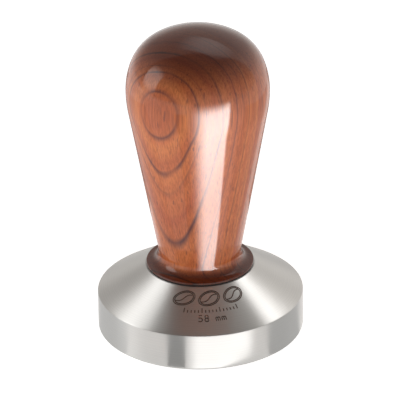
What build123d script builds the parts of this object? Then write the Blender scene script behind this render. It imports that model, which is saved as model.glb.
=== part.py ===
from build123d import *
from math import cos, radians, sin, tan
import os

# An espresso tamper: a weight with a flat face that presses ground coffee level in a filter
# basket. A turned wooden handle unscrews from a turned steel base, so that either can be
# changed. All sizes are in millimetres. The axis of turning is Z, and the tamping face lies
# on Z = 0, with its centre at the origin.

# ---- Steel base -----------------------------------------------------------------------------
tamp_diameter = 58.0        # the face that presses the coffee, made for a 58 mm filter basket
skirt_height = 10.7         # straight wall round the face, up to the foot of the cone
tamp_edge_radius = 0.6      # rounding between the face and the wall
skirt_edge_break = 0.25     # chamfer between the wall and the cone
base_height = 19.0          # tamping face to the flat land that the handle screws down on
land_margin = 0.3           # flat land showing outside the handle's rim
tapped_spare_depth = 0.65   # hole going on below the lower end of the stud
drill_point_angle = 118.0   # included angle of the drill that opened the hole

# ---- Washer under the handle ----------------------------------------------------------------
washer_thickness = 0.4
washer_inset = 0.1          # how far its edge stands back under the rim

# ---- Wooden handle --------------------------------------------------------------------------
rim_overhang = 4.13         # rim's edge beyond the line of the grip
rim_height = 0.6            # foot of the handle to the top of the rim
rim_edge_radius = 0.2       # rounding of the rim's upper edge
cove_radius = 2.8           # hollow between the rim and the grip
taper_angle = 10.3          # slope of the straight grip, from the axis
bulb_diameter = 40.0        # widest part, which fills the palm
bulb_rise = 53.4            # foot of the handle to the widest part
lower_side_radius = 34.5    # from the grip up to the widest part
upper_side_radius = 21.7    # from the widest part up to the shoulder
upper_side_angle = 21.5     # where the side gives way to the shoulder
shoulder_radius = 13.2
shoulder_angle = 60.6       # where the shoulder gives way to the crown

# ---- Threads: one right-hand thread, M8 x 1.25, joins all the pieces -------------------------
thread_diameter = 8.0
thread_pitch = 1.25
thread_depth = 0.767        # crest to root of the stud's ridge
crest_flat = 0.156          # flat on top of the stud's ridge
flank_angle = 30.0          # each side of the ridge, from a plane across the axis
ridge_root_overlap = 0.05   # how far a ridge is let into the rod that carries it
helix_start_angle = 17.0    # where round the axis every ridge and groove begins
crest_clearance = 0.10      # radial room over a ridge inside its groove
root_clearance = 0.087      # radial room between a rod and the bored wall round it
flank_clearance = 0.08      # room on each side of a ridge, square to its flank
mouth_widening = 0.2        # how far a tapped hole's countersink opens past the grooves
tap_run_on = 3.0            # pitches that a tap's rod goes on past the mouth of its hole
ridge_run_on = 1.3          # pitches that the tap's ridge goes on past the mouth

# ---- Stud: a headless screw with a hexagon socket -------------------------------------------
stud_length = 25.0
stud_reach = 13.25          # how far it stands out below the handle's foot
stud_end_chamfer = 0.6
plain_end = 0.9             # rod left without thread at each end
socket_across_flats = 4.0
socket_depth = 4.0

# ---- Insert: a closed brass bush glued into the handle --------------------------------------
insert_diameter = 12.0
insert_recess = 0.3         # how far its mouth sits inside the handle's foot
insert_end_wall = 1.6       # closed end above the stud
insert_chamfer = 0.5
glue_gap = 0.05             # radial room for glue
glue_groove_count = 3
glue_groove_width = 1.0
glue_groove_depth = 0.5

# ---- Fits -----------------------------------------------------------------------------------
washer_clearance = 0.10     # radial, round the stud
bore_mouth_chamfer = 0.4

# ---- Heights that follow from the sizes above ------------------------------------------------
foot_height = base_height + washer_thickness
stud_bottom = foot_height - stud_reach
stud_top = stud_bottom + stud_length
insert_bottom = foot_height + insert_recess
insert_top = stud_top + insert_end_wall
tapped_bottom = stud_bottom - tapped_spare_depth
tapped_radius = thread_diameter / 2 - thread_depth + root_clearance
groove_radius = thread_diameter / 2 + crest_clearance
mouth_radius = groove_radius + mouth_widening

os.makedirs("parts", exist_ok=True)


def thread_ridge(root_radius, crest_radius, crest_width, first_pitch, last_pitch, mode):
    """Sweep one ridge with sloping flanks up a right-hand helix.

    The helix is counted in whole pitches from the stud's lower end, so that every ridge and
    every groove in the object lies on one and the same helix.
    """
    start = stud_bottom + first_pitch * thread_pitch
    rise = (last_pitch - first_pitch) * thread_pitch
    half_crest = crest_width / 2
    half_root = half_crest + (crest_radius - root_radius) * tan(radians(flank_angle))
    turned_axes = Plane.XY.rotated((0, 0, helix_start_angle))
    turned_section = Plane.XZ.rotated((0, 0, helix_start_angle))
    with BuildLine(turned_axes, mode=Mode.PRIVATE) as ridge_path:
        Helix(pitch=thread_pitch, height=rise, radius=root_radius, center=(0, 0, start))
    with BuildSketch(turned_section, mode=Mode.PRIVATE) as ridge_section:
        with BuildLine():
            Polyline(
                (root_radius, start - half_root),
                (crest_radius, start - half_crest),
                (crest_radius, start + half_crest),
                (root_radius, start + half_root),
                close=True,
            )
        make_face()
    sweep(ridge_section.sketch, path=ridge_path.line, is_frenet=True, mode=mode)


def thread_tap(bottom, top, first_pitch, last_pitch):
    """A rod with a ridge, larger all round than the stud by the clearances.

    What it is subtracted from is left with a tapped hole that the stud runs in. Both the rod
    and its ridge run on past the mouth of the hole.
    """
    widening = 2 * flank_clearance / cos(radians(flank_angle))
    narrowing = 2 * crest_clearance * tan(radians(flank_angle))
    with BuildPart() as tap:
        with BuildSketch(Plane.XY.offset(bottom)):
            Circle(tapped_radius)
        extrude(amount=top - bottom)
        thread_ridge(
            tapped_radius - ridge_root_overlap,
            groove_radius,
            crest_flat + widening - narrowing,
            first_pitch,
            last_pitch,
            Mode.ADD,
        )
    return tap.part


def countersink(mouth_height, inward):
    """Open the mouth of a tapped hole with a 45 degree cone, once its groove is cut.

    inward is 1 for a hole that runs up from its mouth and -1 for one that runs down.
    """
    with BuildSketch(Plane.XZ, mode=Mode.PRIVATE) as mouth_section:
        with BuildLine():
            Polyline(
                (0, mouth_height),
                (mouth_radius, mouth_height),
                (0, mouth_height + inward * mouth_radius),
                close=True,
            )
        make_face()
    revolve(mouth_section.sketch, axis=Axis.Z, mode=Mode.SUBTRACT)


# ---- Handle's outline ------------------------------------------------------------------------
# The outline runs from the foot to the crown as lines and arcs, each leaving at the angle at
# which the one below it arrives. The grip's straight stretch is found from the bulb above it.
bulb_radius = bulb_diameter / 2
bulb_height = foot_height + bulb_rise
rim_top = foot_height + rim_height
lower_side_centre = Vector(bulb_radius - lower_side_radius, bulb_height)
upper_side_centre = Vector(bulb_radius - upper_side_radius, bulb_height)
shoulder_centre = upper_side_centre + Vector(upper_side_radius - shoulder_radius, 0).rotate(
    Axis.Z, upper_side_angle
)
crown_radius = shoulder_radius + shoulder_centre.X / cos(radians(shoulder_angle))
crown_centre = shoulder_centre - Vector(crown_radius - shoulder_radius, 0).rotate(
    Axis.Z, shoulder_angle
)
grip_top = lower_side_centre + Vector(lower_side_radius, 0).rotate(Axis.Z, -taper_angle)
grip_foot_radius = grip_top.X - (grip_top.Y - rim_top) * tan(radians(taper_angle))
rim_radius = grip_foot_radius + rim_overhang
washer_radius = rim_radius - washer_inset
land_radius = rim_radius + land_margin

# ---- Tamping base ---------------------------------------------------------------------------
base_mouth_pitches = (base_height - stud_bottom) / thread_pitch
base_tap = thread_tap(
    tapped_bottom,
    base_height + tap_run_on * thread_pitch,
    0,
    base_mouth_pitches + ridge_run_on,
)

with BuildPart() as tamping_base:
    with BuildSketch(Plane.XZ) as base_section:
        with BuildLine():
            Polyline(
                (0, 0),
                (tamp_diameter / 2, 0),
                (tamp_diameter / 2, skirt_height),
                (land_radius, base_height),
                (0, base_height),
                close=True,
            )
        make_face()
        face_corner = base_section.vertices().group_by(Axis.Y)[0].sort_by(Axis.X)[-1]
        fillet(face_corner, radius=tamp_edge_radius)
        skirt_corner = base_section.vertices().sort_by(Axis.X)[-1:]
        chamfer(skirt_corner, length=skirt_edge_break)
    revolve(axis=Axis.Z)
    with BuildSketch(Plane.XZ):
        with BuildLine():
            Polyline(
                (0, tapped_bottom - tapped_radius / tan(radians(drill_point_angle / 2))),
                (tapped_radius, tapped_bottom),
                (0, tapped_bottom),
                close=True,
            )
        make_face()
    revolve(axis=Axis.Z, mode=Mode.SUBTRACT)
    add(base_tap, mode=Mode.SUBTRACT)
    countersink(base_height, -1)

# ---- Foot washer ----------------------------------------------------------------------------
with BuildPart() as foot_washer:
    with BuildSketch(Plane.XY.offset(base_height)):
        Circle(washer_radius)
        Circle(thread_diameter / 2 + washer_clearance, mode=Mode.SUBTRACT)
    extrude(amount=washer_thickness)

# ---- Wooden handle --------------------------------------------------------------------------
with BuildPart() as wooden_handle:
    with BuildSketch(Plane.XZ) as handle_section:
        with BuildLine() as handle_outline:
            foot_and_grip = FilletPolyline(
                (0, foot_height),
                (rim_radius, foot_height),
                (rim_radius, rim_top),
                (grip_foot_radius, rim_top),
                (grip_top.X, grip_top.Y),
                radius=(0, rim_edge_radius, cove_radius),
            )
            CenterArc(lower_side_centre, lower_side_radius, -taper_angle, taper_angle)
            CenterArc(upper_side_centre, upper_side_radius, 0, upper_side_angle)
            CenterArc(
                shoulder_centre,
                shoulder_radius,
                upper_side_angle,
                shoulder_angle - upper_side_angle,
            )
            crown = CenterArc(crown_centre, crown_radius, shoulder_angle, 90 - shoulder_angle)
            Line(crown @ 1, (0, foot_height))
        make_face()
    revolve(axis=Axis.Z)
    with BuildSketch(Plane.XY.offset(foot_height)):
        Circle(insert_diameter / 2 + glue_gap)
    extrude(amount=insert_top - foot_height, mode=Mode.SUBTRACT)
    bore_mouth = wooden_handle.edges().filter_by(GeomType.CIRCLE).group_by(Axis.Z)[0].sort_by(
        SortBy.RADIUS
    )[0]
    chamfer(bore_mouth, length=bore_mouth_chamfer)

# ---- Threaded insert ------------------------------------------------------------------------
insert_mouth_pitches = (insert_bottom - stud_bottom) / thread_pitch
insert_tap = thread_tap(
    insert_bottom - tap_run_on * thread_pitch,
    stud_top,
    int(insert_mouth_pitches - ridge_run_on),
    (stud_length - crest_flat) / thread_pitch - 0.5,
)

with BuildPart() as threaded_insert:
    with BuildSketch(Plane.XY.offset(insert_bottom)):
        Circle(insert_diameter / 2)
    extrude(amount=insert_top - insert_bottom)
    chamfer(threaded_insert.edges().filter_by(GeomType.CIRCLE), length=insert_chamfer)
    groove_spacing = (insert_top - insert_bottom) / (glue_groove_count + 1)
    with BuildSketch(Plane.XZ):
        for groove in range(1, glue_groove_count + 1):
            with Locations((insert_diameter / 2, insert_bottom + groove * groove_spacing)):
                Rectangle(2 * glue_groove_depth, glue_groove_width)
    revolve(axis=Axis.Z, mode=Mode.SUBTRACT)
    add(insert_tap, mode=Mode.SUBTRACT)
    countersink(insert_bottom, 1)

# ---- Threaded stud --------------------------------------------------------------------------
with BuildPart() as threaded_stud:
    with BuildSketch(Plane.XY.offset(stud_bottom)):
        Circle(thread_diameter / 2 - thread_depth)
    extrude(amount=stud_length)
    chamfer(threaded_stud.edges().filter_by(GeomType.CIRCLE), length=stud_end_chamfer)
    thread_ridge(
        thread_diameter / 2 - thread_depth - ridge_root_overlap,
        thread_diameter / 2,
        crest_flat,
        1,
        (stud_length - plain_end) / thread_pitch - 0.5,
        Mode.ADD,
    )
    with BuildSketch(Plane.XY.offset(stud_bottom)):
        RegularPolygon(socket_across_flats / 2, 6, major_radius=False)
    extrude(amount=socket_depth, mode=Mode.SUBTRACT)

tamping_base.part.label = "tamping_base"
foot_washer.part.label = "foot_washer"
wooden_handle.part.label = "wooden_handle"
threaded_insert.part.label = "threaded_insert"
threaded_stud.part.label = "threaded_stud"

export_step(tamping_base.part, "parts/tamping_base.step")
export_step(foot_washer.part, "parts/foot_washer.step")
export_step(wooden_handle.part, "parts/wooden_handle.step")
export_step(threaded_insert.part, "parts/threaded_insert.step")
export_step(threaded_stud.part, "parts/threaded_stud.step")

print("overall height", round(crown_centre.Y + crown_radius, 2))
print("grip meets the rim's plane at radius", round(grip_foot_radius, 2))
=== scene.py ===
# %% [markdown]
# # An espresso tamper
#
# A turned wooden handle is screwed to a turned steel base. Both are bodies of revolution, so
# the lesson is mostly about one tool: a lathe made of Geometry Nodes, which turns an outline
# round the Z axis. The finishes do the rest: lacquered wood, and steel that still shows the
# fine circles the lathe tool left. All lengths here are in metres.

# %% Load the frame
from math import atan2, cos, hypot, pi, radians, sin, tan

import bmesh
import bpy
from mathutils import Matrix, Vector


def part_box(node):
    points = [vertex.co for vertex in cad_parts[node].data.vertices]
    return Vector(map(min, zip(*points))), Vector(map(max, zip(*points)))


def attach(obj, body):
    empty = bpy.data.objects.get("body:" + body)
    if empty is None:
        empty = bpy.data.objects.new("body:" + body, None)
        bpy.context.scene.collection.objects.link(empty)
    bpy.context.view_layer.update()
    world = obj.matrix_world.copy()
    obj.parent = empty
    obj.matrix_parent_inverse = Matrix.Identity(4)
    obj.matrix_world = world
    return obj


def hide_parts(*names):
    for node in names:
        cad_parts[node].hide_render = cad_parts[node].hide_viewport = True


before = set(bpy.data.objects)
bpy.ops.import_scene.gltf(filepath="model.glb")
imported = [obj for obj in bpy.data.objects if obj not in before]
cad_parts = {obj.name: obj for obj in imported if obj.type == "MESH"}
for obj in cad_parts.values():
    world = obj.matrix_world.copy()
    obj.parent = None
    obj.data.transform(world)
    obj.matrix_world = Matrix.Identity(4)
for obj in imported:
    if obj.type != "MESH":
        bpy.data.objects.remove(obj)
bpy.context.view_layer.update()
MM = 0.001

# %% [markdown]
# ## The camera
#
# A long lens from well back keeps the ellipses of the base and the rim almost parallel, as in
# a catalogue picture. The camera looks down by about 27 degrees, and is rolled by under one
# degree, so that the tamper leans a little to the left.

# %% Camera
CAMERA_DISTANCE = 1.3323
CAMERA_ELEVATION = radians(26.763)
CAMERA_ROLL = radians(0.783)
CAMERA_TARGET = Vector((0.000224, 0, 0.038446))
SENSOR_WIDTH = 36.0
LENS = 428.3



def new_object(name, data):
    """An object in the scene that holds a mesh, a light or a camera."""
    made = bpy.data.objects.new(name, data)
    bpy.context.scene.collection.objects.link(made)
    return made


camera_data = bpy.data.cameras.new("camera")
camera_data.lens = LENS
camera_data.sensor_width = SENSOR_WIDTH
camera_data.clip_start = 0.01
camera_data.clip_end = 20
camera = new_object("camera", camera_data)
towards_camera = Vector((0, -cos(CAMERA_ELEVATION), sin(CAMERA_ELEVATION)))
camera.location = CAMERA_TARGET + towards_camera * CAMERA_DISTANCE
upright = Matrix.Rotation(pi / 2 - CAMERA_ELEVATION, 4, "X")
camera.matrix_world = (
    Matrix.Translation(camera.location) @ upright @ Matrix.Rotation(-CAMERA_ROLL, 4, "Z")
)
bpy.context.scene.camera = camera
print("camera at", [round(c, 3) for c in camera.location])

# %% [markdown]
# ## Small helpers for materials
#
# Paint and finish colours are quoted as sRGB hex values, as on a colour card, and one function
# turns them to the linear values that the shader works in. Another plugs values and links into
# a node's sockets. A third adds a node to a tree with its settings and plugs it in, so that
# each material below reads as a short list of nodes.

# %% Colour and node helpers
def linear(hex_colour):
    """An sRGB hex colour as the linear red, green, blue, alpha that a shader takes."""
    channels = [int(hex_colour[i : i + 2], 16) / 255 for i in (0, 2, 4)]
    return [c / 12.92 if c <= 0.04045 else ((c + 0.055) / 1.055) ** 2.4 for c in channels] + [1]


def set_stops(colour_ramp, stops):
    """Give a colour ramp its stops, a list of (place, hex colour)."""
    while len(colour_ramp.elements) < len(stops):
        colour_ramp.elements.new(1.0)
    for element, (place, colour) in zip(colour_ramp.elements, stops):
        element.position = place
        element.color = linear(colour)


def plug(tree, node, **inputs):
    """Set or link a node's sockets.

    A socket is named with _ for a space, or by its number, as n_0. A value that is itself a
    socket is linked, and so is a node, by its first output.
    """
    for name, value in inputs.items():
        wanted = name.replace("_", " ")
        if wanted[:2] == "n ":
            socket = node.inputs[int(wanted[2:])]
        else:
            socket = next(s for s in node.inputs if s.name == wanted and s.enabled)
        if isinstance(value, bpy.types.Node):
            value = value.outputs[0]
        if isinstance(value, bpy.types.NodeSocket):
            tree.links.new(value, socket)
        else:
            socket.default_value = value


def add(tree, kind, settings=None, **inputs):
    """Add a node with its own settings, and plug in its inputs.

    The setting "stops" is for a colour ramp.
    """
    node = tree.nodes.new(kind)
    for name, value in (settings or {}).items():
        if name == "stops":
            set_stops(node.color_ramp, value)
        else:
            setattr(node, name, value)
    plug(tree, node, **inputs)
    return node


def new_material(name):
    """A material with only an output and a Principled shader, and the tree to add nodes to."""
    material = bpy.data.materials.new(name)
    material.use_nodes = True
    tree = material.node_tree
    tree.nodes.clear()
    shader = add(tree, "ShaderNodeBsdfPrincipled")
    add(tree, "ShaderNodeOutputMaterial", Surface=shader)
    return material, tree, shader


print("middle grey 808080 is", round(linear("808080")[0], 3), "to the shader")

# %% [markdown]
# ## Turned stainless steel
#
# The base is turned from bar on a lathe and left with the tool's fine circles on it. They
# stretch every reflection across the circles, from the axis outwards, which gives a turned
# cone its bright and dark fans. That stretch is the shader's anisotropy, with the tangent
# taken along the piece's own U direction, which runs round the axis. A finer layer of rings,
# drawn as a small bump, breaks the reflection up as tool marks do.

# %% Turned steel
RING_SPACING = 0.18 * MM  # a fine cut leaves 0.05 to 0.1 mm, drawn coarser here so as to show
RING_DEPTH = 0.003 * MM
ROUGHNESS_SPREAD = 0.03


def turned_steel(name, colours, roughness, anisotropy, ring_depth):
    """Steel fresh from the lathe: satin across the tool marks, sharper along them."""
    material, tree, shader = new_material(name)
    place = add(tree, "ShaderNodeTexCoord")
    uv = add(tree, "ShaderNodeUVMap", {"uv_map": "turning"})
    along = add(tree, "ShaderNodeSeparateXYZ", Vector=uv)
    # V counts metres along the outline, so a ring is a step in V alone.
    row = add(
        tree, "ShaderNodeMath", {"operation": "DIVIDE"}, n_0=along.outputs["Y"], n_1=RING_SPACING
    )
    rings = add(
        tree, "ShaderNodeTexNoise", {"noise_dimensions": "1D"}, W=row, Scale=1.0, Detail=2.0,
        Roughness=0.6,
    )
    # Blotches about 8 mm across vary the gloss.
    blotches = add(
        tree, "ShaderNodeTexNoise", Vector=place.outputs["Object"], Scale=0.12 / MM, Detail=3.0
    )
    tint = add(
        tree, "ShaderNodeValToRGB", {"stops": [(0.3, colours[0]), (0.7, colours[1])]}, Fac=rings
    )
    shade = add(
        tree, "ShaderNodeMapRange", Value=blotches, To_Min=roughness - ROUGHNESS_SPREAD,
        To_Max=roughness + ROUGHNESS_SPREAD,
    )
    bump = add(tree, "ShaderNodeBump", Height=rings, Strength=0.35, Distance=ring_depth)
    tangent = add(tree, "ShaderNodeTangent", {"direction_type": "UV_MAP", "uv_map": "turning"})
    # The shader stretches a highlight along its tangent. A quarter turn of that puts the
    # stretch across the tool marks, where they scatter the light.
    plug(
        tree, shader, Base_Color=tint, Roughness=shade, Normal=bump, Tangent=tangent,
        Metallic=1.0, Anisotropic=anisotropy, Anisotropic_Rotation=0.25,
    )
    return material


stainless = turned_steel(
    "turned_stainless_steel", colours=("c5c4c2", "cfcecb"), roughness=0.34, anisotropy=0.9,
    ring_depth=RING_DEPTH,
)
print("turned steel with rings", round(RING_SPACING / MM, 2), "mm apart")

# %% [markdown]
# ## Lacquered bubinga
#
# Bubinga is a red-brown hardwood with thin, dark purple growth lines. A handle is turned from
# a straight blank, so the growth layers pass through it as nearly flat sheets. Where the bulb
# swells through a sheet, the line closes into an oval, and that is the figure on this handle.
# So the figure isn't painted on: a distance through the blank, bent a little by slow noise, is
# cut by the turned surface. Pores and fibres run along the grain, which is the Z axis. A clear
# gloss lacquer lies over it, as the shader's coat.

# %% Growth lines
GRAIN_FACING = radians(-90 - 34)  # the layers face this way round the axis
LAYER_TILT = 0.028  # the layers lean back this much for each unit of height
WIDEST_HEIGHT = 72.8 * MM
BLANK_HALF = 20.0 * MM
SMOOTHLY = {"interpolation_type": "SMOOTHSTEP"}  # a Map Range that starts and ends gently
COVE_FOOT = 20.3 * MM
COVE_TOP = 23.0 * MM
LAYER_BEND = 2.4 * MM  # a layer wanders by half of this to each side
GRIP_LEAN = 0.1  # added to how far a spot faces up, because the grip faces a little down

# Growth lines: distance through the blank in millimetres, half width, and how dark.
GROWTH_LINES = [
    (19.15, 0.10, 0.75),
    (16.6, 0.13, 0.85),
    (15.3, 0.09, 0.45),
    (11.9, 0.20, 0.95),
    (8.0, 0.12, 0.7),
    (5.9, 0.10, 0.3),
    (4.0, 0.12, 0.65),
    (1.2, 0.10, 0.35),
    (-2.4, 0.13, 0.6),
    (-5.2, 0.10, 0.3),
    (-8.3, 0.15, 0.7),
    (-11.6, 0.12, 0.5),
    (-14.2, 0.14, 0.7),
    (-16.9, 0.10, 0.4),
    (-18.6, 0.12, 0.7),
]


def growth_curve(tree, layer, low, high):
    """How dark the growth lines are between two distances through the blank.

    A line starts sharply on its outer side and fades on its inner side.
    """
    share = add(tree, "ShaderNodeMapRange", Value=layer, From_Min=low, From_Max=high)
    node = add(tree, "ShaderNodeFloatCurve", Value=share)
    curve = node.mapping.curves[0]
    curve.points[0].location = (0, 0)
    curve.points[1].location = (1, 0)
    for distance, half_width, strength in GROWTH_LINES:
        middle = (distance * MM - low) / (high - low)
        reach = half_width * MM / (high - low)
        corners = [(middle - 3 * reach, 0), (middle, strength), (middle + 1.5 * reach, 0)]
        if 0 < corners[0][0] and corners[-1][0] < 1:
            for corner in corners:
                curve.points.new(*corner).handle_type = "VECTOR"
    node.mapping.update()
    return node


print(len(GROWTH_LINES), "growth lines, the darkest", max(s for _, _, s in GROWTH_LINES))


# %% [markdown]
# ## The finish of the handle
#
# The ground colour comes from broad bands along the same distance. Fibres and pores darken it,
# the growth lines are laid over them, and the ends of the grain take up more stain. Painted shade
# darkens the crown, the rim and the cove on top of that.

# %% Lacquered wood
def lacquered_wood():
    """Bubinga under a clear gloss lacquer."""
    material, tree, shader = new_material("lacquered_bubinga")
    place = add(tree, "ShaderNodeTexCoord")
    point = place.outputs["Object"]
    centred = add(
        tree, "ShaderNodeVectorMath", {"operation": "SUBTRACT"}, n_0=point,
        n_1=(0, 0, WIDEST_HEIGHT),
    )
    # Slow bends in the layers, about 20 mm across the grain and three times that along it.
    slow_place = add(
        tree, "ShaderNodeMapping", Vector=point, Location=(0.3, 0.1, 0.0), Scale=(1, 1, 0.35)
    )
    slow = add(
        tree, "ShaderNodeTexNoise", Vector=slow_place, Scale=0.048 / MM, Detail=2.0, Roughness=0.5
    )
    bend = add(
        tree, "ShaderNodeMath", {"operation": "MULTIPLY_ADD"}, n_0=slow, n_1=LAYER_BEND,
        n_2=-LAYER_BEND / 2,
    )
    through = add(
        tree, "ShaderNodeVectorMath", {"operation": "DOT_PRODUCT"}, n_0=centred,
        n_1=(cos(GRAIN_FACING), sin(GRAIN_FACING), LAYER_TILT),
    )
    layer = add(
        tree, "ShaderNodeMath", {"operation": "ADD"}, n_0=through.outputs["Value"], n_1=bend
    )
    # The growth lines: a curve over each half of the blank, with a peak for each line.
    front_lines = growth_curve(tree, layer, 0, BLANK_HALF)
    back_lines = growth_curve(tree, layer, -BLANK_HALF, 0)
    lines = add(tree, "ShaderNodeMath", {"operation": "MAXIMUM"}, n_0=front_lines, n_1=back_lines)
    # Broad bands of lighter and redder wood, a few millimetres apart.
    bands = add(
        tree, "ShaderNodeTexNoise", {"noise_dimensions": "1D"}, W=layer, Scale=0.42 / MM,
        Detail=3.0,
    )
    ground = add(
        tree, "ShaderNodeValToRGB",
        {"stops": [(0.3, "bd5f35"), (0.5, "cb6d3b"), (0.7, "d87c43")]}, Fac=bands,
    )
    # Fibres: 2.6 to the millimetre across the grain, and 25 times as long as they are wide.
    fibre_place = add(tree, "ShaderNodeMapping", Vector=point, Scale=(1, 1, 0.04))
    fibres = add(
        tree, "ShaderNodeTexNoise", Vector=fibre_place, Scale=2.6 / MM, Detail=3.0, Roughness=0.65
    )
    fibre_shade = add(
        tree, "ShaderNodeValToRGB", {"stops": [(0.3, "a08c82"), (0.6, "ffffff")]}, Fac=fibres
    )
    fibred = add(
        tree, "ShaderNodeMix", {"data_type": "RGBA", "blend_type": "MULTIPLY"}, n_0=0.55,
        n_6=ground, n_7=fibre_shade,
    )
    # Pores: short dark strokes along the grain, drawn only where this noise peaks.
    pore_place = add(tree, "ShaderNodeMapping", Vector=point, Scale=(1, 1, 0.09))
    pores = add(tree, "ShaderNodeTexNoise", Vector=pore_place, Scale=1.5 / MM, Detail=1.0)
    pore_mask = add(
        tree, "ShaderNodeMapRange", Value=pores, From_Min=0.66, From_Max=0.74, To_Max=0.6
    )
    pored = add(
        tree, "ShaderNodeMix", {"data_type": "RGBA"}, n_0=pore_mask, n_6=fibred.outputs[2],
        n_7=linear("6b3a2c"),
    )
    # A line is dark on one stretch and nearly gone on the next.
    fade = add(tree, "ShaderNodeTexNoise", Vector=slow_place, Scale=0.11 / MM, Detail=2.0)
    patchy = add(
        tree, "ShaderNodeMapRange", Value=fade, From_Min=0.36, From_Max=0.58, To_Min=0.3,
        To_Max=1.0,
    )
    drawn = add(tree, "ShaderNodeMath", {"operation": "MULTIPLY"}, n_0=lines, n_1=patchy)
    lined = add(
        tree, "ShaderNodeMix", {"data_type": "RGBA"}, n_0=drawn, n_6=pored.outputs[2],
        n_7=linear("452028"),
    )
    # End grain, on the crown and on the rim, soaks up more stain and dries darker. The same
    # darkening is also painted shade on the crown and the rim, where less light falls, and the
    # cove is darkened as painted shade in its recess.
    facing = add(tree, "ShaderNodeSeparateXYZ", Vector=place.outputs["Normal"])
    tipped = add(
        tree, "ShaderNodeMath", {"operation": "ADD"}, n_0=facing.outputs["Z"], n_1=GRIP_LEAN
    )
    steep = add(tree, "ShaderNodeMath", {"operation": "ABSOLUTE"}, n_0=tipped)
    # Faces that point up or down get darker: end-grain stain, and painted shade on the crown and
    # rim.
    end_grain_stain_and_top_shade = add(
        tree, "ShaderNodeMapRange", SMOOTHLY, Value=steep, From_Min=0.1, From_Max=1.05, To_Max=0.9
    )
    height = add(tree, "ShaderNodeSeparateXYZ", Vector=point)
    # Painted shade: the cove, a recess, is darkened between these two heights.
    cove_painted_shade = add(
        tree, "ShaderNodeMapRange", SMOOTHLY, Value=height.outputs["Z"], From_Min=COVE_TOP,
        From_Max=COVE_FOOT, To_Max=0.9,
    )
    stain_and_painted_shade = add(tree, "ShaderNodeMath", {"operation": "MAXIMUM"}, n_0=end_grain_stain_and_top_shade, n_1=cove_painted_shade)
    # The darkening mixed in here is real end-grain stain and painted shade together.
    stained_and_shaded = add(
        tree, "ShaderNodeMix", {"data_type": "RGBA", "blend_type": "MULTIPLY"}, n_0=stain_and_painted_shade,
        n_6=lined.outputs[2], n_7=linear("6a5154"),
    )
    bump = add(tree, "ShaderNodeBump", Height=fibres, Strength=0.06, Distance=0.02 * MM)
    # Lacquer soaks into the wood, so there is hardly a second glossy surface under it.
    plug(
        tree, shader, Base_Color=stained_and_shaded.outputs[2], Normal=bump, Roughness=0.5,
        Specular_IOR_Level=0.1, Coat_Weight=0.8, Coat_Roughness=0.06, Coat_IOR=1.5,
    )
    return material


wood = lacquered_wood()
print("lacquered wood has", len(wood.node_tree.nodes), "nodes")

# %% [markdown]
# ## The small metals and the washer
#
# The stud is steel with bright zinc, the bush is brass, and the washer is pressed fibre. They
# are seen only when the handle is unscrewed, but each still gets the look of how it is made.

# %% Zinc, brass and fibre
def plain_metal(name, colours, roughness):
    """A machined or plated metal, with a little variation in its colour and gloss."""
    material, tree, shader = new_material(name)
    place = add(tree, "ShaderNodeTexCoord")
    # Clouds about a millimetre across.
    cloud = add(
        tree, "ShaderNodeTexNoise", Vector=place.outputs["Object"], Scale=0.9 / MM, Detail=4.0
    )
    tint = add(
        tree, "ShaderNodeValToRGB", {"stops": [(0.3, colours[0]), (0.7, colours[1])]}, Fac=cloud
    )
    shade = add(
        tree, "ShaderNodeMapRange", Value=cloud, To_Min=roughness - 2 * ROUGHNESS_SPREAD,
        To_Max=roughness + 2 * ROUGHNESS_SPREAD,
    )
    plug(tree, shader, Base_Color=tint, Roughness=shade, Metallic=1.0)
    return material


def pressed_fibre():
    """Vulcanised fibre: dark, matt, with a faint felted surface."""
    material, tree, shader = new_material("vulcanised_fibre")
    place = add(tree, "ShaderNodeTexCoord")
    # Felt that varies over a quarter of a millimetre.
    felt = add(
        tree, "ShaderNodeTexNoise", Vector=place.outputs["Object"], Scale=4.0 / MM, Detail=3.0
    )
    tint = add(tree, "ShaderNodeValToRGB", {"stops": [(0.3, "1d1413"), (0.7, "2d201d")]}, Fac=felt)
    bump = add(tree, "ShaderNodeBump", Height=felt, Strength=0.3, Distance=0.02 * MM)
    plug(tree, shader, Base_Color=tint, Normal=bump, Roughness=0.7)
    return material


zinc = plain_metal("bright_zinc_plate", colours=("b3b6ba", "cdd0d3"), roughness=0.3)
brass = plain_metal("machined_brass", colours=("c79a4a", "dcb566"), roughness=0.28)
fibre = pressed_fibre()
print("small finishes:", zinc.name, brass.name, fibre.name)

# %% [markdown]
# ## A lathe in Geometry Nodes
#
# An outline is a chain of points in the XZ plane. The lathe lays out a flat grid with one row
# for each point of the outline and one column for each step round the axis, then moves each
# grid point to where the outline point would be after turning. Unlike a spin in edit mode, the
# grid can carry a UV map from the start: U runs round the axis and V counts metres along the
# outline. Merging by distance closes the seam and the two poles.

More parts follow.
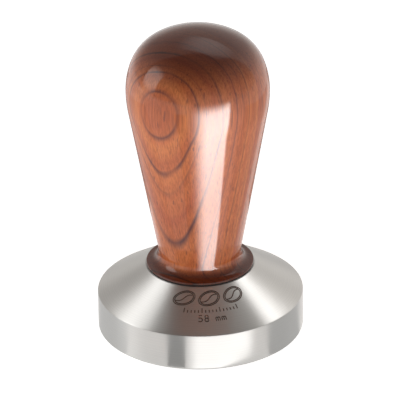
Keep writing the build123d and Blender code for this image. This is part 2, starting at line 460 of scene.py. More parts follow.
# %% The lathe
def lathe_tree():
    """Geometry Nodes: an outline in, a closed turned body out."""
    tree = bpy.data.node_groups.new("lathe", "GeometryNodeTree")
    face = tree.interface
    face.new_socket("Outline", in_out="INPUT", socket_type="NodeSocketGeometry")
    face.new_socket("Steps Around", in_out="INPUT", socket_type="NodeSocketInt")
    for name in ("Turns", "Rise Per Turn", "Start Angle", "Weld Distance"):
        face.new_socket(name, in_out="INPUT", socket_type="NodeSocketFloat")
    face.new_socket("Material", in_out="INPUT", socket_type="NodeSocketMaterial")
    face.new_socket("Body", in_out="OUTPUT", socket_type="NodeSocketGeometry")
    given = add(tree, "NodeGroupInput").outputs
    size = add(tree, "GeometryNodeAttributeDomainSize", {"component": "MESH"}, Geometry=given[0])
    columns = add(tree, "ShaderNodeMath", {"operation": "ADD"}, n_0=given["Steps Around"], n_1=1.0)
    grid = add(
        tree, "GeometryNodeMeshGrid", Size_X=1.0, Size_Y=1.0, Vertices_X=columns,
        Vertices_Y=size.outputs["Point Count"],
    )
    position = add(tree, "GeometryNodeInputPosition")
    # The grid is one unit square about its middle, so half a unit more makes a share of it.
    spot = add(tree, "ShaderNodeSeparateXYZ", Vector=position)
    sweep_share = add(tree, "ShaderNodeMath", {"operation": "ADD"}, n_0=spot.outputs["X"], n_1=0.5)
    turn = add(
        tree, "ShaderNodeMath", {"operation": "MULTIPLY"}, n_0=sweep_share, n_1=given["Turns"]
    )
    angle = add(
        tree, "ShaderNodeMath", {"operation": "MULTIPLY_ADD"}, n_0=turn, n_1=2 * pi,
        n_2=given["Start Angle"],
    )
    rise = add(
        tree, "ShaderNodeMath", {"operation": "MULTIPLY"}, n_0=turn, n_1=given["Rise Per Turn"]
    )
    last_row = add(
        tree, "ShaderNodeMath", {"operation": "SUBTRACT"}, n_0=size.outputs["Point Count"], n_1=1.0
    )
    share = add(tree, "ShaderNodeMath", {"operation": "ADD"}, n_0=spot.outputs["Y"], n_1=0.5)
    row = add(tree, "ShaderNodeMath", {"operation": "MULTIPLY"}, n_0=share, n_1=last_row)
    whole_row = add(tree, "ShaderNodeMath", {"operation": "ROUND"}, n_0=row)
    outline_point = add(
        tree, "GeometryNodeSampleIndex", {"data_type": "FLOAT_VECTOR", "domain": "POINT"},
        Geometry=given[0], Index=whole_row, Value=position,
    )
    turned = add(
        tree, "ShaderNodeVectorRotate", {"rotation_type": "Z_AXIS"}, Vector=outline_point,
        Angle=angle,
    )
    stored = add(tree, "GeometryNodeInputNamedAttribute", {"data_type": "FLOAT"}, Name="travelled")
    travelled = add(
        tree, "GeometryNodeSampleIndex", {"data_type": "FLOAT", "domain": "POINT"},
        Geometry=given[0], Index=whole_row, Value=stored.outputs["Attribute"],
    )
    placed_uv = add(tree, "ShaderNodeCombineXYZ", X=turn, Y=travelled)
    mapped = add(
        tree, "GeometryNodeStoreNamedAttribute", {"data_type": "FLOAT2", "domain": "CORNER"},
        Geometry=grid.outputs["Mesh"], Name="turning", Value=placed_uv,
    )
    lift = add(tree, "ShaderNodeCombineXYZ", Z=rise)
    lifted = add(tree, "ShaderNodeVectorMath", {"operation": "ADD"}, n_0=turned, n_1=lift)
    body = add(tree, "GeometryNodeSetPosition", Geometry=mapped, Position=lifted)
    welded = add(
        tree, "GeometryNodeMergeByDistance", Geometry=body, Distance=given["Weld Distance"]
    )
    real = add(tree, "GeometryNodeRealizeInstances", Geometry=welded)
    finished = add(tree, "GeometryNodeSetMaterial", Geometry=real, Material=given["Material"])
    add(tree, "NodeGroupOutput", n_0=finished)
    return tree


lathe = lathe_tree()
print("the lathe has", len(lathe.nodes), "nodes")


# %% [markdown]
# ## Running a tree
#
# A tree runs as a modifier on a source object. Its inputs are set by each socket's identifier,
# before the object is first evaluated. The result is copied into a plain mesh, and the source
# and its modifier are thrown away.

# %% Running a tree
def run_tree(source, tree, name, **values):
    """Evaluate a node tree on an object, and keep the result as a plain mesh object."""
    modifier = source.modifiers.new("build", "NODES")
    modifier.node_group = tree
    for socket in tree.interface.items_tree:
        wanted = socket.name.replace(" ", "_")
        if socket.in_out == "INPUT" and wanted in values:
            modifier[socket.identifier] = values[wanted]
    bpy.context.view_layer.update()
    evaluated = source.evaluated_get(bpy.context.evaluated_depsgraph_get())
    mesh = bpy.data.meshes.new_from_object(evaluated)
    mesh.name = name
    source.modifiers.clear()
    bpy.data.objects.remove(source)
    return new_object(name, mesh)


def outline_object(points):
    """A chain of points in the XZ plane, with the distance travelled along it at each."""
    mesh = bpy.data.meshes.new("outline")
    edges = [(i, i + 1) for i in range(len(points) - 1)]
    mesh.from_pydata([(x, 0, z) for x, z in points], edges, [])
    travelled = mesh.attributes.new("travelled", "FLOAT", "POINT")
    total = 0.0
    for i in range(1, len(points)):
        total += hypot(points[i][0] - points[i - 1][0], points[i][1] - points[i - 1][1])
        travelled.data[i].value = total
    return new_object("outline", mesh)


def count_open_edges(piece):
    """How many edges don't have exactly two faces."""
    shell = bmesh.new()
    shell.from_mesh(piece.data)
    count = sum(len(edge.link_faces) != 2 for edge in shell.edges)
    shell.free()
    return count


STEPS_AROUND = 256
WELD_DISTANCE = 0.0005 * MM
SHARPEST_SMOOTH = radians(32)  # two faces that meet at more than this keep a crisp edge


def turn_on_lathe(name, points, material):
    """Turn an outline, given from the lower pole to the upper one, into a closed body."""
    piece = run_tree(
        outline_object(points), lathe, name, Steps_Around=STEPS_AROUND, Turns=1.0,
        Rise_Per_Turn=0.0, Start_Angle=0.0, Weld_Distance=WELD_DISTANCE, Material=material,
    )
    for polygon in piece.data.polygons:
        polygon.use_smooth = True
    piece.data.set_sharp_from_angle(angle=SHARPEST_SMOOTH)
    open_edges = count_open_edges(piece)
    print(name, len(piece.data.polygons), "faces,", open_edges, "open edges")
    return piece


print("a full turn takes", STEPS_AROUND, "steps")

# %% [markdown]
# ## Outlines
#
# An outline is lines and arcs. One helper samples an arc, and another puts a small rounding
# where two lines meet, because on a real turned edge a fine bright line shows that rounding.

# %% Outline helpers
def arc(centre, radius, start, end, steps):
    """Points along an arc about a centre, between two angles in radians."""
    angles = [start + (end - start) * i / steps for i in range(steps + 1)]
    return [(centre[0] + radius * cos(a), centre[1] + radius * sin(a)) for a in angles]


def rounded(points, radii, steps=6):
    """The chain of points with its inner corners rounded to the given radii."""
    made = [points[0]]
    for before, corner, after, radius in zip(points, points[1:], points[2:], radii):
        corner = Vector(corner)
        back = (Vector(before) - corner).normalized()
        onward = (Vector(after) - corner).normalized()
        half = back.angle(onward) / 2
        if radius == 0:
            made.append(tuple(corner))
            continue
        centre = corner + (back + onward).normalized() * (radius / sin(half))
        start = corner + back * (radius / tan(half))
        end = corner + onward * (radius / tan(half))
        first = atan2(*(start - centre).yx)
        sweep = atan2(*(end - centre).yx) - first
        sweep = (sweep + pi) % (2 * pi) - pi
        made += arc(centre, radius, first, first + sweep, steps)
    made.append(points[-1])
    return made


def spaced(points, longest):
    """The same chain with long steps divided, so that rows of faces stay even."""
    made = [points[0]]
    for start, end in zip(points, points[1:]):
        across, up = end[0] - start[0], end[1] - start[1]
        count = max(1, round(hypot(across, up) / longest))
        made += [
            (start[0] + across * i / count, start[1] + up * i / count)
            for i in range(1, count + 1)
        ]
    return made


print("a rounded corner has", len(rounded([(0, 0), (1, 0), (1, 1)], [0.2])) - 2, "points")

# %% [markdown]
# ## The steel base
#
# The outline starts at the middle of the tamping face, goes round the wall, the cone and the
# land, and down into the tapped hole. The hole's thread is a coil of its own, made below.

# %% Steel base
base_low, base_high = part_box("tamping_base")
base_radius = base_high.x
base_top = base_high.z
skirt_height = 10.7 * MM
land_margin = 0.3 * MM
hole_radius = 4.1 * MM
hole_mouth_radius = 4.3 * MM
hole_depth = 13.5 * MM
hole_floor = base_top - hole_depth
DRILL_HALF_ANGLE = radians(59)
LONGEST_STEP = 1.2 * MM

washer_low, washer_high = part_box("foot_washer")
washer_radius = washer_high.x
rim_radius = washer_radius + 0.1 * MM
land_radius = rim_radius + land_margin

base_outline = rounded(
    [
        (0, 0),
        (base_radius, 0),
        (base_radius, skirt_height),
        (land_radius, base_top),
        (hole_mouth_radius, base_top),
        (hole_radius, base_top - (hole_mouth_radius - hole_radius)),
        (hole_radius, hole_floor),
        (0, hole_floor - hole_radius / tan(DRILL_HALF_ANGLE)),
    ],
    # One rounding for each corner, from the edge of the face to the foot of the hole.
    [0.6 * MM, 0.3 * MM, 0.12 * MM, 0.05 * MM, 0, 0],
)
turned_base = turn_on_lathe("turned_base", spaced(base_outline, LONGEST_STEP), stainless)

# %% [markdown]
# ## The washer
#
# A stamped ring. Its outline closes on itself, so the lathe makes a ring with no poles.

# %% Washer
washer_hole_radius = 4.1 * MM
washer_middle = (washer_low.z + washer_high.z) / 2
washer_outline = rounded(
    [
        (washer_hole_radius, washer_middle),
        (washer_hole_radius, washer_low.z),
        (washer_radius, washer_low.z),
        (washer_radius, washer_high.z),
        (washer_hole_radius, washer_high.z),
        (washer_hole_radius, washer_middle),
    ],
    [0.04 * MM, 0.08 * MM, 0.08 * MM, 0.04 * MM],
)
fibre_washer = turn_on_lathe("fibre_washer", spaced(washer_outline, 1.5 * MM), fibre)

# %% [markdown]
# ## The wooden handle
#
# The grip is straight. The bulb above it is four arcs, each leaving at the angle at which the
# one below arrives, so that no line shows where they meet. The same values rule the solid
# handle in the frame, and the box of that solid tests the outline.

# %% Handle's outline
handle_low, handle_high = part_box("wooden_handle")
foot = handle_low.z
bulb_radius = handle_high.x
bulb_height = foot + 53.4 * MM
rim_top = foot + 0.6 * MM
rim_edge_radius = 0.2 * MM
cove_radius = 2.8 * MM
taper = radians(10.3)
lower_side_radius = 34.5 * MM
upper_side_radius = 21.7 * MM
upper_side_angle = radians(21.5)
shoulder_radius = 13.2 * MM
shoulder_angle = radians(60.6)
bore_radius = 6.05 * MM
bore_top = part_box("threaded_insert")[1].z
ARC_STEPS = 14

lower_centre = Vector((bulb_radius - lower_side_radius, bulb_height))
upper_centre = Vector((bulb_radius - upper_side_radius, bulb_height))
shoulder_reach = upper_side_radius - shoulder_radius
shoulder_centre = upper_centre + shoulder_reach * Vector(
    (cos(upper_side_angle), sin(upper_side_angle))
)
crown_radius = shoulder_radius + shoulder_centre.x / cos(shoulder_angle)
crown_centre = shoulder_centre - (crown_radius - shoulder_radius) * Vector(
    (cos(shoulder_angle), sin(shoulder_angle))
)
grip_top = lower_centre + lower_side_radius * Vector((cos(taper), -sin(taper)))
grip_foot_radius = grip_top.x - (grip_top.y - rim_top) * tan(taper)
crown_gap = crown_centre.y + crown_radius - handle_high.z
print("crown stands", round(crown_gap / MM, 3), "mm off the frame's")

bore_chamfer = 0.4 * MM
bore = [
    (0, bore_top),
    (bore_radius, bore_top),
    (bore_radius + 0.001 * MM, foot + bore_chamfer),
]
foot_and_grip = rounded(
    [
        bore[-1],
        (bore_radius + bore_chamfer, foot),
        (rim_radius, foot),
        (rim_radius, rim_top),
        (grip_foot_radius, rim_top),
        tuple(grip_top),
    ],
    [0, 0.08 * MM, rim_edge_radius, cove_radius],
    steps=12,
)
bulb = (
    arc(lower_centre, lower_side_radius, -taper, 0, ARC_STEPS)
    + arc(upper_centre, upper_side_radius, 0, upper_side_angle, ARC_STEPS)[1:]
    + arc(shoulder_centre, shoulder_radius, upper_side_angle, shoulder_angle, ARC_STEPS)[1:]
    + arc(crown_centre, crown_radius, shoulder_angle, pi / 2, ARC_STEPS)[1:]
)
handle_outline = bore[:-1] + foot_and_grip + bulb[1:]
handle_outline[-1] = (0, handle_outline[-1][1])
print("outline of the handle has", len(handle_outline), "points")

# %% [markdown]
# ## Turning the handle
#
# Long steps of the outline are divided first, so that the rows of faces stay even.

# %% Handle
turned_handle = turn_on_lathe("turned_handle", spaced(handle_outline, LONGEST_STEP), wood)

# %% [markdown]
# ## The thread in the base
#
# Cut on a lathe, the thread would be a groove in the wall of the hole. Here it is what stands
# between the turns of that groove: a ridge with sloping sides. The same tree makes it, from a
# small outline that climbs by one pitch for each turn. It lies midway between the turns of the
# stud's own ridge.

# %% Thread in the base
THREAD_PITCH = 1.25 * MM
RIDGE_ROOT_RADIUS = hole_radius + 0.02 * MM
RIDGE_CREST_RADIUS = 3.32 * MM
RIDGE_HALF_CREST = 0.062 * MM
RIDGE_HALF_ROOT = 0.5 * MM
STEPS_PER_TURN = 64
THREAD_START = radians(17)  # where round the axis the stud's own thread starts
stud_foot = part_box("threaded_stud")[0].z
ridge_foot = stud_foot + THREAD_PITCH / 2
ridge_top = base_top - (hole_mouth_radius - hole_radius) - RIDGE_HALF_ROOT
ridge_turns = (ridge_top - ridge_foot) / THREAD_PITCH
ridge_outline = [
    (RIDGE_CREST_RADIUS, ridge_foot - RIDGE_HALF_CREST),
    (RIDGE_ROOT_RADIUS, ridge_foot - RIDGE_HALF_ROOT),
    (RIDGE_ROOT_RADIUS, ridge_foot + RIDGE_HALF_ROOT),
    (RIDGE_CREST_RADIUS, ridge_foot + RIDGE_HALF_CREST),
    (RIDGE_CREST_RADIUS, ridge_foot - RIDGE_HALF_CREST),
]
base_thread = run_tree(
    outline_object(ridge_outline), lathe, "base_thread",
    Steps_Around=round(STEPS_PER_TURN * ridge_turns), Turns=ridge_turns,
    Rise_Per_Turn=THREAD_PITCH, Start_Angle=THREAD_START, Weld_Distance=WELD_DISTANCE,
    Material=stainless,
)
# The lathe leaves the two ends of a coil open, so they are filled here.
ridge_shell = bmesh.new()
ridge_shell.from_mesh(base_thread.data)
bmesh.ops.holes_fill(ridge_shell, edges=ridge_shell.edges, sides=0)
bmesh.ops.recalc_face_normals(ridge_shell, faces=ridge_shell.faces)
ridge_shell.to_mesh(base_thread.data)
ridge_shell.free()
open_edges = count_open_edges(base_thread)
print("base_thread", round(ridge_turns, 2), "turns,", open_edges, "open edges")

# %% [markdown]
# ## The marks on the cone
#
# A laser draws marks on a turned base in single strokes. These are three coffee beans, a scale
# of millimetres, and the size of the filter basket. Each stroke is first a flat chain of
# points, and each point becomes an angle round the cone and a distance up its slope. Geometry
# Nodes roll the chains on to the cone and sweep a thin flat section along them, turned to face
# as the cone faces. A laser mark is a dark oxide skin that stands hardly proud of the steel.

# %% Strokes
CONE_LEAN = atan2(base_top - skirt_height, base_radius - land_radius)
MARK_CENTRE = radians(7.5)  # the marks stand this much to the right of the front
BEAN_HALF_WIDTH = 3.1 * MM
BEAN_HALF_HEIGHT = 2.2 * MM
BEAN_LEAN = radians(24)
BEAN_LIP = (0.86, 0.82)  # how wide and high a bean's inner line is, as shares of its outline
CREASE_BEND = 0.2  # how far the crease swings to each side, as a share of the half height
CREASE_STEPS = 20
MARK_STEPS = 24
STROKE_WIDTH = 0.31 * MM
STROKE_THICKNESS = 0.05 * MM


def on_row(strokes, radius, shift):
    """Flat strokes in metres as (angle, distance up the slope) in the row at this radius."""
    row_slope = (base_radius - radius) / cos(CONE_LEAN)
    return [
        [(MARK_CENTRE + (x + shift) / radius, row_slope + y) for x, y in stroke]
        for stroke in strokes
    ]


def bean(half_width, half_height):
    """A coffee bean's outline, an inner line and the bent crease along it, leaning over."""
    outline = arc((0, 0), 1, 0, 2 * pi, 2 * MARK_STEPS)
    along = [2 * i / CREASE_STEPS - 1 for i in range(CREASE_STEPS + 1)]
    crease = [(x, CREASE_BEND * sin(pi * x)) for x in along]
    inner_half_width = half_width * BEAN_LIP[0]
    inner_half_height = half_height * BEAN_LIP[1]
    chains = [
        [(x * half_width, y * half_height) for x, y in outline],
        [(x * inner_half_width, y * inner_half_height) for x, y in outline],
        [(x * inner_half_width, y * half_height) for x, y in crease],
    ]
    return [
        [(x * cos(BEAN_LEAN) - y * sin(BEAN_LEAN), x * sin(BEAN_LEAN) + y * cos(BEAN_LEAN))
         for x, y in chain]
        for chain in chains
    ]


def millimetre_scale(count, short, long):
    """A row of ticks a millimetre apart, where each fifth is longer."""
    ticks = []
    for i in range(count):
        x = (i - (count - 1) / 2) * MM
        top = long if i % 5 == 0 else short
        ticks.append([(x, -long / 2), (x, top - long / 2)])
    return ticks


def five(h):
    """The digit 5 in one stroke, h high, drawn from its middle."""
    bowl = arc((-0.02 * h, -0.2 * h), 0.3 * h, radians(125), radians(-140), MARK_STEPS)
    return [[(0.25 * h, 0.5 * h), (-0.17 * h, 0.5 * h), (-0.2 * h, 0.03 * h)] + bowl]


def eight(h):
    """The digit 8 as two rings, h high, drawn from its middle."""
    return [
        arc((0, 0.25 * h), 0.23 * h, 0, 2 * pi, MARK_STEPS),
        arc((0, -0.24 * h), 0.27 * h, 0, 2 * pi, MARK_STEPS),
    ]


def letter_m(h):
    """A small m of two arches, six tenths of h high, standing on the digits' foot line."""
    foot_line = -0.5 * h
    shoulder = foot_line + 0.45 * h
    left_arch = arc((-0.14 * h, shoulder), 0.14 * h, pi, 0, MARK_STEPS // 2)
    right_arch = arc((0.14 * h, shoulder), 0.14 * h, pi, 0, MARK_STEPS // 2)
    return [
        [(-0.28 * h, foot_line)] + left_arch + [(0, foot_line)],
        [(0, shoulder)] + right_arch + [(0.28 * h, foot_line)],
    ]


# %% [markdown]
# ## Setting out the marks
#
# Each row of marks stands at its own radius on the cone: the beans nearest the handle, then the
# scale, then the size.

# %% Rows of marks
BEAN_ROW = 18.6 * MM
SCALE_ROW = 21.9 * MM
SIZE_ROW = 24.1 * MM
BEAN_SPACING = 7.0 * MM
DIGIT_HEIGHT = 2.0 * MM
SIZE_MARK = [(five, -3.3), (eight, -1.5), (letter_m, 1.6), (letter_m, 3.3)]

strokes = []
for bean_shift in (-BEAN_SPACING, 0, BEAN_SPACING):
    strokes += on_row(bean(BEAN_HALF_WIDTH, BEAN_HALF_HEIGHT), BEAN_ROW, bean_shift)
strokes += on_row(millimetre_scale(16, short=0.9 * MM, long=1.5 * MM), SCALE_ROW, 0)
for draw, shift in SIZE_MARK:
    strokes += on_row(draw(DIGIT_HEIGHT), SIZE_ROW, shift * MM)
print("marks", len(strokes), "strokes")


# %% [markdown]
# ## The marking tree
#
# It rolls the flat chains on to the cone, turns each curve's normal to face as the cone faces,
# and sweeps the flat section of a stroke along it. The caps close every stroke.

# %% The marking tree
def marking_tree():
    """Geometry Nodes: chains of (angle, slope) in, thin flat strokes on a cone out."""
    tree = bpy.data.node_groups.new("marking", "GeometryNodeTree")
    face = tree.interface
    face.new_socket("Chains", in_out="INPUT", socket_type="NodeSocketGeometry")
    for name in ("Foot Radius", "Foot Height", "Lean", "Stroke Width", "Thickness"):
        face.new_socket(name, in_out="INPUT", socket_type="NodeSocketFloat")
    face.new_socket("Material", in_out="INPUT", socket_type="NodeSocketMaterial")
    face.new_socket("Marks", in_out="OUTPUT", socket_type="NodeSocketGeometry")
    given = add(tree, "NodeGroupInput").outputs
    slope_run = add(tree, "ShaderNodeMath", {"operation": "COSINE"}, n_0=given["Lean"])
    slope_rise = add(tree, "ShaderNodeMath", {"operation": "SINE"}, n_0=given["Lean"])
    position = add(tree, "GeometryNodeInputPosition")
    flat = add(tree, "ShaderNodeSeparateXYZ", Vector=position)
    inward = add(
        tree, "ShaderNodeMath", {"operation": "MULTIPLY"}, n_0=flat.outputs["Y"], n_1=slope_run
    )
    # In front of the axis, Y is minus the radius there.
    ahead = add(
        tree, "ShaderNodeMath", {"operation": "SUBTRACT"}, n_0=inward, n_1=given["Foot Radius"]
    )
    height = add(
        tree, "ShaderNodeMath", {"operation": "MULTIPLY_ADD"}, n_0=flat.outputs["Y"],
        n_1=slope_rise, n_2=given["Foot Height"],
    )
    in_front = add(tree, "ShaderNodeCombineXYZ", Y=ahead, Z=height)
    rolled = add(
        tree, "ShaderNodeVectorRotate", {"rotation_type": "Z_AXIS"}, Vector=in_front,
        Angle=flat.outputs["X"],
    )
    curves = add(tree, "GeometryNodeMeshToCurve", Mesh=given["Chains"])
    on_cone = add(tree, "GeometryNodeSetPosition", Geometry=curves, Position=rolled)
    # The cone faces outwards by the sine of its lean and upwards by the cosine.
    outwards = add(
        tree, "ShaderNodeVectorMath", {"operation": "MULTIPLY"}, n_0=position, n_1=(1, 1, 0)
    )
    outwards = add(tree, "ShaderNodeVectorMath", {"operation": "NORMALIZE"}, n_0=outwards)
    outwards = add(
        tree, "ShaderNodeVectorMath", {"operation": "SCALE"}, n_0=outwards, Scale=slope_rise
    )
    upwards = add(tree, "ShaderNodeCombineXYZ", Z=slope_run)
    facing = add(tree, "ShaderNodeVectorMath", {"operation": "ADD"}, n_0=outwards, n_1=upwards)
    faced = add(tree, "GeometryNodeSetCurveNormal", {"mode": "FREE"}, Curve=on_cone, Normal=facing)
    section = add(
        tree, "GeometryNodeCurvePrimitiveQuadrilateral", Width=given["Thickness"],
        Height=given["Stroke Width"],
    )
    swept = add(
        tree, "GeometryNodeCurveToMesh", Curve=faced, Profile_Curve=section, Fill_Caps=True
    )
    real = add(tree, "GeometryNodeRealizeInstances", Geometry=swept)
    finished = add(tree, "GeometryNodeSetMaterial", Geometry=real, Material=given["Material"])
    add(tree, "NodeGroupOutput", n_0=finished)
    return tree


marking = marking_tree()
print("the marking tree has", len(marking.nodes), "nodes")


# %% [markdown]
# ## Marked steel
#
# The laser heats the skin of the steel until it oxidises. The mark is brown, duller than the
# metal round it, and only partly metallic.

# %% Marks
def laser_mark():
    """The dark oxide that a marking laser leaves on steel: brown, and duller than the metal."""
    material, tree, shader = new_material("laser_marked_steel")
    place = add(tree, "ShaderNodeTexCoord")
    # Scorching that varies over a third of a millimetre.
    scorch = add(
        tree, "ShaderNodeTexNoise", Vector=place.outputs["Object"], Scale=3.0 / MM, Detail=2.0
    )
    tint = add(
        tree, "ShaderNodeValToRGB", {"stops": [(0.3, "3c3029"), (0.7, "5d4d43")]}, Fac=scorch
    )
    plug(tree, shader, Base_Color=tint, Metallic=0.5, Roughness=0.5)
    return material


chains_mesh = bpy.data.meshes.new("chains")
chain_points = [(angle, slope, 0) for stroke in strokes for angle, slope in stroke]
chain_edges = []
first = 0
for stroke in strokes:
    chain_edges += [(first + i, first + i + 1) for i in range(len(stroke) - 1)]
    first += len(stroke)
chains_mesh.from_pydata(chain_points, chain_edges, [])
laser_marks = run_tree(
    new_object("chains", chains_mesh), marking, "laser_marks", Foot_Radius=base_radius,
    Foot_Height=skirt_height, Lean=CONE_LEAN, Stroke_Width=STROKE_WIDTH,
    Thickness=STROKE_THICKNESS, Material=laser_mark(),
)
open_edges = count_open_edges(laser_marks)
print("laser_marks", len(laser_marks.data.polygons), "faces,", open_edges, "open edges")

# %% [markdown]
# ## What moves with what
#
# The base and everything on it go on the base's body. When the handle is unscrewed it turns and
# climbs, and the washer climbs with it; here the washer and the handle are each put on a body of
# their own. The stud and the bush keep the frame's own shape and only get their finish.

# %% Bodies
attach(turned_base, "base")
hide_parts("tamping_base")
for fitted in (base_thread, laser_marks):
    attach(fitted, "base")
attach(fibre_washer, "washer")
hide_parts("foot_washer")
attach(turned_handle, "handle")
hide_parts("wooden_handle")
for node, material in (("threaded_stud", zinc), ("threaded_insert", brass)):
    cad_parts[node].data.materials.clear()
    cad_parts[node].data.materials.append(material)
print("base:", turned_base.name, base_thread.name, laser_marks.name)
print("washer:", fibre_washer.name, "- handle:", turned_handle.name)

# %% [markdown]
# ## The floor and the light
#
# The floor is a plain pale sheet. Lacquer and turned steel show what stands round them, so the
# lights are soft boxes placed for their reflections.

# %% Floor
FLOOR_HALF = 1.5
FLOOR_DROP = 0.02 * MM  # a hair below the base, so that the two never fight for the same place
FLOOR_GLOW = 0.76  # a lit sheet of paper looks white, and this glow makes it so everywhere
signs = [(-1, -1), (1, -1), (1, 1), (-1, 1)]
corners = [(x * FLOOR_HALF, y * FLOOR_HALF, -FLOOR_DROP) for x, y in signs]
floor_mesh = bpy.data.meshes.new("floor")
floor_mesh.from_pydata(corners, [], [(0, 1, 2, 3)])
floor = new_object("floor", floor_mesh)
paper, paper_tree, paper_shader = new_material("white_paper_sweep")
plug(
    paper_tree, paper_shader, Base_Color=linear("f2f2f2"), Roughness=0.9, Specular_IOR_Level=0.0,
    Emission_Color=linear("ffffff"), Emission_Strength=FLOOR_GLOW,
)
floor_mesh.materials.append(paper)
print("floor", 2 * FLOOR_HALF, "m square")

# %% [markdown]
# ## Soft boxes
#
# A soft box is a rectangular area light. Some boxes here lie flat in front of the object, and a
# mask on them turns their reflection into an upright band on a round wall, as a strip light
# gives. Light linking lets a box light only some pieces, as a card between the box and the
# others would.

# %% Soft boxes
def soft_box(name, place, aim, width, height, brightness, turn=0.0):
    """A rectangular area light at a place, facing a point, unseen by the camera.

    Its brightness is the radiance that a reflection of it shows.
    """
    lamp = bpy.data.lights.new(name, "AREA")
    lamp.shape = "RECTANGLE"
    lamp.size = width
    lamp.size_y = height
    lamp.energy = brightness * pi * width * height
    box = new_object(name, lamp)
    direction = Vector(aim) - Vector(place)
    facing = direction.to_track_quat("-Z", "Y").to_matrix().to_4x4()
    box.matrix_world = Matrix.Translation(place) @ facing @ Matrix.Rotation(turn, 4, "Z")
    box.visible_camera = False
    return box


def soft_edged(box, inner, outer):
    """Fade a soft box from full at one distance from its middle to nothing at another."""
    box.data.use_nodes = True
    tree = box.data.node_tree
    position = add(tree, "ShaderNodeNewGeometry").outputs["Position"]
    off_centre = add(
        tree, "ShaderNodeVectorMath", {"operation": "DISTANCE"}, n_0=position,
        n_1=box.matrix_world.translation,
    )
    fade = add(
        tree, "ShaderNodeMapRange", SMOOTHLY, Value=off_centre.outputs["Value"], From_Min=outer,
        From_Max=inner,
    )
    plug(tree, tree.nodes["Emission"], Strength=fade)


def flat_box(name, near, far, height, width, brightness):
    """A soft box that lies flat in front of the object, facing up, seen only in reflections."""
    middle = -(near + far) / 2
    box = soft_box(name, (0, middle, height), (0, middle, 1), width, far - near, brightness)
    box.visible_diffuse = False
    return box


def lights_only(box, *pieces):
    """Let a box light only these pieces, as when a card shades the others from it."""
    lit = bpy.data.collections.new(box.name + "_lights")
    for piece in pieces:
        lit.objects.link(piece)
    box.light_linking.receiver_collection = lit


print("a box of 1 square metre takes", round(pi, 2), "W for each unit of brightness")


# %% [markdown]
# ## A fan of light
#
# The mask of a flat box is worked out from where each spot of the box would be seen on a round
# wall. It is cut off at two angles on the wall, and dies away far from the object and near it.

# %% A fan of light
FAN_FULL = 0.15  # a fan is at full strength out to here
FAN_FAR = 1.4  # and has died away here
NEAR_FULL = 0.085  # nearer than this it starts to dim
NEAR_DIM = 0.035  # and here it is down to its near share


def fan_of_light(lamp, wall_radius, left_edge, left_fade, right_edge, right_fade, near_share):
    """Mask a flat box so that its reflection is an upright band on a round wall.

    The angles are those of the band on the wall, from the front. A spot seen at one angle on
    a wall of that radius lies at nearly (2 - wall radius / distance) times that angle. Close
    to the object the box gives only its near share.
    """
    lamp.use_nodes = True
    tree = lamp.node_tree
    position = add(tree, "ShaderNodeNewGeometry").outputs["Position"]
    spot = add(tree, "ShaderNodeSeparateXYZ", Vector=position)
    away = add(tree, "ShaderNodeMath", {"operation": "MULTIPLY"}, n_0=spot.outputs["Y"], n_1=-1.0)
    floor_angle = add(
        tree, "ShaderNodeMath", {"operation": "ARCTAN2"}, n_0=spot.outputs["X"], n_1=away
    )
    flat_spot = add(tree, "ShaderNodeCombineXYZ", X=spot.outputs["X"], Y=spot.outputs["Y"])
    distance = add(tree, "ShaderNodeVectorMath", {"operation": "LENGTH"}, n_0=flat_spot)
    share = add(
        tree, "ShaderNodeMath", {"operation": "DIVIDE"}, n_0=wall_radius,
        n_1=distance.outputs["Value"],
    )
    ratio = add(tree, "ShaderNodeMath", {"operation": "SUBTRACT"}, n_0=2.0, n_1=share)
    angle = add(tree, "ShaderNodeMath", {"operation": "DIVIDE"}, n_0=floor_angle, n_1=ratio)
    left = add(
        tree, "ShaderNodeMapRange", SMOOTHLY, Value=angle, From_Min=left_edge,
        From_Max=left_edge + left_fade,
    )
    right = add(
        tree, "ShaderNodeMapRange", SMOOTHLY, Value=angle, From_Min=right_edge + right_fade,
        From_Max=right_edge,
    )
    both = add(tree, "ShaderNodeMath", {"operation": "MULTIPLY"}, n_0=left, n_1=right)
    # How low over the horizon a spot is seen goes with one over its distance.
    nearness = add(tree, "ShaderNodeMath", {"operation": "DIVIDE"}, n_0=1.0, n_1=away)
    far = add(
        tree, "ShaderNodeMapRange", SMOOTHLY, Value=nearness, From_Min=1 / FAN_FAR,
        From_Max=1 / FAN_FULL,
    )
    near = add(
        tree, "ShaderNodeMapRange", SMOOTHLY, Value=nearness, From_Min=1 / NEAR_FULL,
        From_Max=1 / NEAR_DIM, To_Min=1.0, To_Max=near_share,
    )
    along = add(tree, "ShaderNodeMath", {"operation": "MULTIPLY"}, n_0=near, n_1=far)
    masked = add(tree, "ShaderNodeMath", {"operation": "MULTIPLY"}, n_0=both, n_1=along)
    plug(tree, tree.nodes["Emission"], Strength=masked)


print("a fan reaches from", NEAR_DIM, "to", FAN_FAR, "m")

# %% [markdown]
# ## Placing the lights
#
# Each box is placed for one reflection: the bright band on the grip, the white band on the
# base's wall, the window on the bulb's left, the sheen on the crown, and the two bright fans
# on the cone.

# %% Lights
grip_box = flat_box(
    "grip_box", near=0.0125, far=FAN_FAR, height=0.0203, width=2.0, brightness=18.0
)
fan_of_light(
    grip_box.data, wall_radius=15 * MM, left_edge=radians(-7), left_fade=radians(16),
    right_edge=radians(24), right_fade=radians(2.5), near_share=0.62,
)
lights_only(grip_box, turned_handle)

skirt_box = flat_box(
    "skirt_box", near=0.0285, far=0.10, height=0.0006, width=0.16, brightness=1.1
)
fan_of_light(
    skirt_box.data, wall_radius=base_radius, left_edge=radians(-10), left_fade=radians(9),
    right_edge=radians(26), right_fade=radians(7), near_share=1.0,
)
lights_only(skirt_box, turned_base)

left_box = soft_box(
    "left_box", place=(-0.75, -0.05, 0.33), aim=(0, 0, 0.06), width=0.42, height=0.8,
    brightness=2.5,
)
soft_edged(left_box, inner=0.15, outer=0.40)

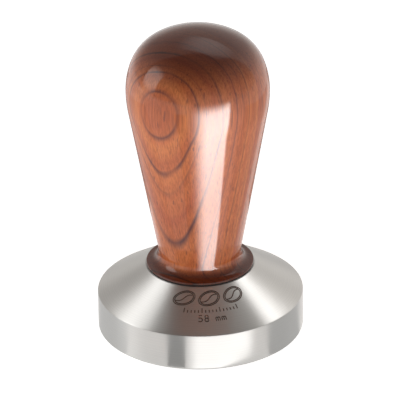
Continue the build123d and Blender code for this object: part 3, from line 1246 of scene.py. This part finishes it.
crown_box = soft_box(
    "crown_box", place=(0.14, 0.45, 0.84), aim=(0, 0, 0.08), width=1.3, height=0.44,
    brightness=0.95, turn=radians(-9),
)
soft_edged(crown_box, inner=0.05, outer=0.5)
lights_only(crown_box, turned_handle)

right_cone_box = soft_box(
    "right_cone_box", place=(0.47, 0.35, 0.64), aim=(0, 0, 0.02), width=0.9, height=0.19,
    brightness=2.0,
)
lights_only(right_cone_box, turned_base, laser_marks)

left_cone_box = soft_box(
    "left_cone_box", place=(-0.43, 0.33, 0.68), aim=(0, 0, 0.02), width=0.9, height=0.40,
    brightness=1.1,
)
lights_only(left_cone_box, turned_base, laser_marks)
boxes = [grip_box, skirt_box, left_box, crown_box, right_cone_box, left_cone_box]
print("soft boxes:", ", ".join(box.name for box in boxes))

# %% [markdown]
# ## Grey cards
#
# Polished steel is drawn by what it reflects, so in a studio grey cards are laid on the table
# to put darker stripes in it. These lie on the floor round the base, and only reflections see
# them. Each one's sides bend as the box's fan above does, so that its stripe stands upright.

# %% Grey cards
CARD_NEAR = 29.6 * MM
FAR_CARD_NEAR = 70.0 * MM
CARD_FAR = 250.0 * MM
CARD_LIFT = 0.3 * MM
CARD_STEPS = 8


def grey_card(name, left, right, brightness, near=CARD_NEAR):
    """A card that darkens the base's wall between two angles from the front."""
    rows = [near + (CARD_FAR - near) * i / CARD_STEPS for i in range(CARD_STEPS + 1)]
    corners = []
    for distance in rows:
        for side in (left, right):
            angle = side * (2 - base_radius / distance)
            corners.append((distance * sin(angle), -distance * cos(angle), CARD_LIFT))
    faces = [(2 * i, 2 * i + 1, 2 * i + 3, 2 * i + 2) for i in range(CARD_STEPS)]
    mesh = bpy.data.meshes.new(name)
    mesh.from_pydata(corners, [], faces)
    card = new_object(name, mesh)
    material, tree, shader = new_material(name)
    plug(
        tree, shader, Base_Color=linear("000000"), Specular_IOR_Level=0.0,
        Emission_Color=linear("ffffff"), Emission_Strength=brightness,
    )
    mesh.materials.append(material)
    card.visible_camera = False
    card.visible_shadow = False
    card.visible_diffuse = False


grey_card("front_card", radians(-19), radians(-9), brightness=0.46)
grey_card("right_card", radians(41), radians(75), brightness=0.62)
grey_card("left_card", radians(-85), radians(-46), brightness=0.78)
# These two stand further back, and darken the two edges of the handle.
grey_card("back_right_card", radians(85), radians(112), brightness=0.35, near=FAR_CARD_NEAR)
grey_card("back_left_card", radians(-112), radians(-85), brightness=0.35, near=FAR_CARD_NEAR)
print("grey cards reach", CARD_FAR, "m from the axis")

# %% [markdown]
# ## The room
#
# What the soft boxes leave dark still has to be something, because steel shows all of it. The
# room is the world's background: a grey backdrop behind the object, paler walls at both sides,
# and the glow of the floor low down. It is drawn by direction, with no picture.

# %% Room
world = bpy.data.worlds.new("studio")
bpy.context.scene.world = world
world.use_nodes = True
room = world.node_tree
around = add(room, "ShaderNodeTexCoord")
direction = add(room, "ShaderNodeSeparateXYZ", Vector=around.outputs["Generated"])
# Behind the object hangs a grey backdrop, from the floor to nearly overhead.
backdrop = add(
    room, "ShaderNodeMapRange", SMOOTHLY, Value=direction.outputs["Y"], From_Min=0.26,
    From_Max=0.34, To_Min=0.19, To_Max=0.57,
)
# White walls stand at both sides.
sideways = add(room, "ShaderNodeMath", {"operation": "ABSOLUTE"}, n_0=direction.outputs["X"])
walls = add(
    room, "ShaderNodeMapRange", SMOOTHLY, Value=sideways, From_Min=0.35, From_Max=0.9, To_Max=0.25
)
# The backdrop is brighter on its right half.
sloped = add(
    room, "ShaderNodeMath", {"operation": "MULTIPLY_ADD"}, n_0=direction.outputs["X"], n_1=0.5,
    n_2=1.0,
)
lit_backdrop = add(room, "ShaderNodeMath", {"operation": "MULTIPLY"}, n_0=backdrop, n_1=sloped)
# Light from the floor dies away up the walls.
low_glow = add(
    room, "ShaderNodeMapRange", SMOOTHLY, Value=direction.outputs["Z"], From_Min=0.34,
    From_Max=0.0, To_Max=0.45,
)
sides = add(room, "ShaderNodeMath", {"operation": "MAXIMUM"}, n_0=walls, n_1=low_glow)
wall = add(room, "ShaderNodeMath", {"operation": "ADD"}, n_0=lit_backdrop, n_1=sides)
plug(room, room.nodes["Background"], Strength=wall, Color=linear("fffaf5"))
bpy.context.scene.view_settings.view_transform = "Standard"
print("the room has", len(room.nodes), "nodes")
